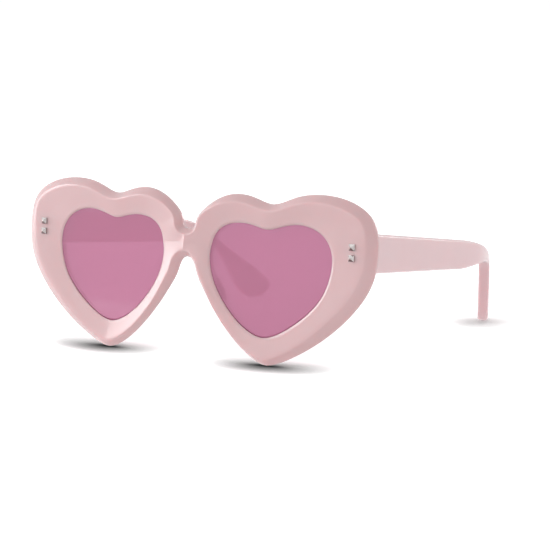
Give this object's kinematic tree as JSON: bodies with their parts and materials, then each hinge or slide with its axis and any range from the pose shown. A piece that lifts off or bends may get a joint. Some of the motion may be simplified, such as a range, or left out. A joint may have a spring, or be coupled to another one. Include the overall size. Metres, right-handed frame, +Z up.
{
  "type": "heart shaped sunglasses",
  "caption": "Sunglasses with a milky pink heart shaped front, tinted lenses, pyramid studs and folding arms that narrow and bend in at the ear.",
  "frame": {"origin": "middle of the footprint, on the floor that both heart points and both ear tips rest on", "axes": "+X to the wearer's left, seen from the front to the right; +Y back along the arms; +Z up"},
  "size_m": [0.1494, 0.1314, 0.0595],
  "materials": {
    "frame_pink": "milky polished acetate",
    "lens_tint": "pink tinted polished lens",
    "stud_chrome": "polished",
    "hinge_steel": "satin"
  },
  "bodies": {
    "front": {"front_frame": "frame_pink", "lens_left": "lens_tint", "nose_pad_left": "frame_pink", "stud_upper_left": "stud_chrome", "stud_lower_left": "stud_chrome", "hinge_front_leaf_left": "hinge_steel", "hinge_screw_left": "hinge_steel", "lens_right": "lens_tint", "nose_pad_right": "frame_pink", "stud_upper_right": "stud_chrome", "stud_lower_right": "stud_chrome", "hinge_front_leaf_right": "hinge_steel", "hinge_screw_right": "hinge_steel"},
    "arm_left": {"temple_left": "frame_pink", "hinge_temple_leaf_left": "hinge_steel", "temple_core_left": "hinge_steel"},
    "arm_right": {"temple_right": "frame_pink", "hinge_temple_leaf_right": "hinge_steel", "temple_core_right": "hinge_steel"}
  },
  "joints": [
    {"name": "fold_right", "type": "hinge", "parent": "front", "child": "arm_right", "pos_m": [0.06641, -0.05183, 0.04029], "axis": [0, 0.0998, 0.995], "range_deg": [0, 82]},
    {"name": "fold_left", "type": "hinge", "parent": "front", "child": "arm_left", "pos_m": [-0.06641, -0.05183, 0.04029], "axis": [0, -0.0998, -0.995], "range_deg": [0, 71]}
  ]
}
